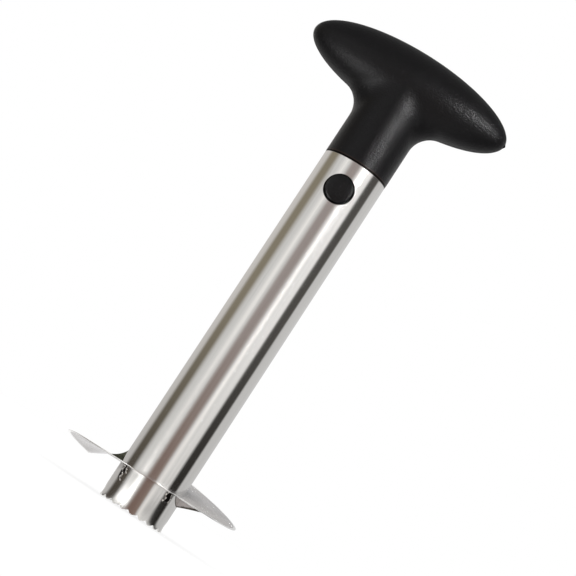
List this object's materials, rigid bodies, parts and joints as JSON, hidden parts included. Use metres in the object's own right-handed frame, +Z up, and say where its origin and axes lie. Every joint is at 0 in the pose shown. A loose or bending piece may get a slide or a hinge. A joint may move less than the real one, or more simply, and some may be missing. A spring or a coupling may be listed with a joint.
{
  "type": "pineapple slicer",
  "caption": "Hand-turned fruit slicer: toothed core tube with a split helical ring blade at its foot and a T handle held by two push buttons.",
  "frame": {"origin": "on the core tube's axis, level with the tips of its tooth ring", "axes": "+Z up the tube towards the handle, X along the handle's bar, the front push button faces -Y and the blade's split lies at the back left"},
  "size_m": [0.1032, 0.0866, 0.2494],
  "materials": {
    "tube_steel": "brushed along the tube",
    "blade_steel": "satin",
    "brace_steel": "heat-tinted",
    "weld_steel": "raw weld",
    "handle_plastic": "fine stipple",
    "plug_plastic": "smooth moulded",
    "button_plastic": "smooth moulded",
    "spring_steel": "drawn wire"
  },
  "bodies": {
    "tool": {"core_tube": "tube_steel", "slicing_blade": "blade_steel", "upper_blade_brace": "brace_steel", "lower_blade_brace": "brace_steel", "blade_tack_welds": "weld_steel", "handle_front_shell": "handle_plastic", "handle_rear_shell": "handle_plastic", "plug_end_cap": "plug_plastic", "button_spring": "spring_steel"},
    "front_button": {"button_front": "button_plastic"},
    "rear_button": {"button_rear": "button_plastic"}
  },
  "joints": [
    {"name": "front_button_push", "type": "slide", "parent": "tool", "child": "front_button", "axis": [0, 1, 0], "range_m": [0, 0.004], "stiffness_N_per_m": 500, "springref_m": -0.003, "deforming": ["button_spring"]},
    {"name": "rear_button_push", "type": "slide", "parent": "tool", "child": "rear_button", "axis": [0, -1, 0], "range_m": [0, 0.004], "stiffness_N_per_m": 500, "springref_m": -0.003, "deforming": ["button_spring"]}
  ]
}
